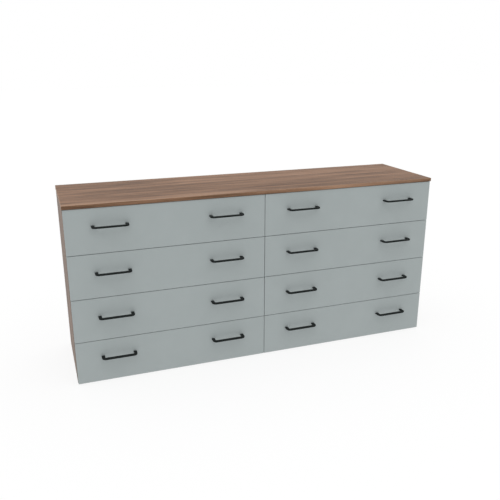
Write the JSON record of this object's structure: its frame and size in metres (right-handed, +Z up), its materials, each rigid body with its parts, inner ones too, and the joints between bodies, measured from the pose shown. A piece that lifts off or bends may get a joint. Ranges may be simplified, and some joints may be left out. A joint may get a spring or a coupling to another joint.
{
  "type": "chest of drawers",
  "caption": "Wide low chest of drawers with a wood-grain top and sides, plain matt grey overlay fronts, dark bent-bar handles and drawers on telescopic slides.",
  "frame": {"origin": "on the floor, under the middle of the whole box with its handles", "axes": "+X along the front to the right as seen from the front, +Y from the front to the back, +Z up"},
  "size_m": [2, 0.55, 0.925],
  "materials": {
    "walnut_board": "matt walnut-grain laminate",
    "front_grey": "matt pale grey lacquer on board",
    "handle_black": "matt black powder coat",
    "drawer_board": "pale grey melamine board",
    "drawer_base": "pale grey faced fibreboard",
    "back_board": "printed wood-grain fibreboard",
    "slide_steel": "bright zinc plate",
    "glide_plastic": "moulded black",
    "beech": "plain fluted dowel",
    "zinc_casting": "cast, bright zinc"
  },
  "bodies": {
    "carcass": {"top_panel": "walnut_board", "left_side_panel": "walnut_board", "centre_partition": "walnut_board", "right_side_panel": "walnut_board", "left_bottom_panel": "walnut_board", "right_bottom_panel": "walnut_board", "left_back_panel": "back_board", "right_back_panel": "back_board", "floor_glides": "glide_plastic", "joint_dowels": "beech", "cam_fittings": "zinc_casting", "cabinet_slide_rails": "slide_steel"},
    "left_drawer_1": {"left_drawer_1_front": "front_grey", "left_drawer_1_handles": "handle_black", "left_drawer_1_box_walls": "drawer_board", "left_drawer_1_box_bottom": "drawer_base", "left_drawer_1_drawer_rails": "slide_steel"},
    "left_drawer_1_middle_slides": {"left_drawer_1_middle_rails": "slide_steel"},
    "left_drawer_2": {"left_drawer_2_front": "front_grey", "left_drawer_2_handles": "handle_black", "left_drawer_2_box_walls": "drawer_board", "left_drawer_2_box_bottom": "drawer_base", "left_drawer_2_drawer_rails": "slide_steel"},
    "left_drawer_2_middle_slides": {"left_drawer_2_middle_rails": "slide_steel"},
    "left_drawer_3": {"left_drawer_3_front": "front_grey", "left_drawer_3_handles": "handle_black", "left_drawer_3_box_walls": "drawer_board", "left_drawer_3_box_bottom": "drawer_base", "left_drawer_3_drawer_rails": "slide_steel"},
    "left_drawer_3_middle_slides": {"left_drawer_3_middle_rails": "slide_steel"},
    "left_drawer_4": {"left_drawer_4_front": "front_grey", "left_drawer_4_handles": "handle_black", "left_drawer_4_box_walls": "drawer_board", "left_drawer_4_box_bottom": "drawer_base", "left_drawer_4_drawer_rails": "slide_steel"},
    "left_drawer_4_middle_slides": {"left_drawer_4_middle_rails": "slide_steel"},
    "right_drawer_1": {"right_drawer_1_front": "front_grey", "right_drawer_1_handles": "handle_black", "right_drawer_1_box_walls": "drawer_board", "right_drawer_1_box_bottom": "drawer_base", "right_drawer_1_drawer_rails": "slide_steel"},
    "right_drawer_1_middle_slides": {"right_drawer_1_middle_rails": "slide_steel"},
    "right_drawer_2": {"right_drawer_2_front": "front_grey", "right_drawer_2_handles": "handle_black", "right_drawer_2_box_walls": "drawer_board", "right_drawer_2_box_bottom": "drawer_base", "right_drawer_2_drawer_rails": "slide_steel"},
    "right_drawer_2_middle_slides": {"right_drawer_2_middle_rails": "slide_steel"},
    "right_drawer_3": {"right_drawer_3_front": "front_grey", "right_drawer_3_handles": "handle_black", "right_drawer_3_box_walls": "drawer_board", "right_drawer_3_box_bottom": "drawer_base", "right_drawer_3_drawer_rails": "slide_steel"},
    "right_drawer_3_middle_slides": {"right_drawer_3_middle_rails": "slide_steel"},
    "right_drawer_4": {"right_drawer_4_front": "front_grey", "right_drawer_4_handles": "handle_black", "right_drawer_4_box_walls": "drawer_board", "right_drawer_4_box_bottom": "drawer_base", "right_drawer_4_drawer_rails": "slide_steel"},
    "right_drawer_4_middle_slides": {"right_drawer_4_middle_rails": "slide_steel"}
  },
  "joints": [
    {"name": "left_drawer_1_slide", "type": "slide", "parent": "carcass", "child": "left_drawer_1", "axis": [0, -1, 0], "range_m": [0, 0.44]},
    {"name": "left_drawer_1_middle_run", "type": "slide", "parent": "carcass", "child": "left_drawer_1_middle_slides", "axis": [0, -1, 0], "range_m": [0, 0.22]},
    {"name": "left_drawer_2_slide", "type": "slide", "parent": "carcass", "child": "left_drawer_2", "axis": [0, -1, 0], "range_m": [0, 0.44]},
    {"name": "left_drawer_2_middle_run", "type": "slide", "parent": "carcass", "child": "left_drawer_2_middle_slides", "axis": [0, -1, 0], "range_m": [0, 0.22]},
    {"name": "left_drawer_3_slide", "type": "slide", "parent": "carcass", "child": "left_drawer_3", "axis": [0, -1, 0], "range_m": [0, 0.44]},
    {"name": "left_drawer_3_middle_run", "type": "slide", "parent": "carcass", "child": "left_drawer_3_middle_slides", "axis": [0, -1, 0], "range_m": [0, 0.22]},
    {"name": "left_drawer_4_slide", "type": "slide", "parent": "carcass", "child": "left_drawer_4", "axis": [0, -1, 0], "range_m": [0, 0.44]},
    {"name": "left_drawer_4_middle_run", "type": "slide", "parent": "carcass", "child": "left_drawer_4_middle_slides", "axis": [0, -1, 0], "range_m": [0, 0.22]},
    {"name": "right_drawer_1_slide", "type": "slide", "parent": "carcass", "child": "right_drawer_1", "axis": [0, -1, 0], "range_m": [0, 0.44]},
    {"name": "right_drawer_1_middle_run", "type": "slide", "parent": "carcass", "child": "right_drawer_1_middle_slides", "axis": [0, -1, 0], "range_m": [0, 0.22]},
    {"name": "right_drawer_2_slide", "type": "slide", "parent": "carcass", "child": "right_drawer_2", "axis": [0, -1, 0], "range_m": [0, 0.44]},
    {"name": "right_drawer_2_middle_run", "type": "slide", "parent": "carcass", "child": "right_drawer_2_middle_slides", "axis": [0, -1, 0], "range_m": [0, 0.22]},
    {"name": "right_drawer_3_slide", "type": "slide", "parent": "carcass", "child": "right_drawer_3", "axis": [0, -1, 0], "range_m": [0, 0.44]},
    {"name": "right_drawer_3_middle_run", "type": "slide", "parent": "carcass", "child": "right_drawer_3_middle_slides", "axis": [0, -1, 0], "range_m": [0, 0.22]},
    {"name": "right_drawer_4_slide", "type": "slide", "parent": "carcass", "child": "right_drawer_4", "axis": [0, -1, 0], "range_m": [0, 0.44]},
    {"name": "right_drawer_4_middle_run", "type": "slide", "parent": "carcass", "child": "right_drawer_4_middle_slides", "axis": [0, -1, 0], "range_m": [0, 0.22]}
  ],
  "couplings": [
    {"joint": "left_drawer_1_middle_run", "follows": "left_drawer_1_slide", "ratio": 0.5},
    {"joint": "left_drawer_2_middle_run", "follows": "left_drawer_2_slide", "ratio": 0.5},
    {"joint": "left_drawer_3_middle_run", "follows": "left_drawer_3_slide", "ratio": 0.5},
    {"joint": "left_drawer_4_middle_run", "follows": "left_drawer_4_slide", "ratio": 0.5},
    {"joint": "right_drawer_1_middle_run", "follows": "right_drawer_1_slide", "ratio": 0.5},
    {"joint": "right_drawer_2_middle_run", "follows": "right_drawer_2_slide", "ratio": 0.5},
    {"joint": "right_drawer_3_middle_run", "follows": "right_drawer_3_slide", "ratio": 0.5},
    {"joint": "right_drawer_4_middle_run", "follows": "right_drawer_4_slide", "ratio": 0.5}
  ]
}
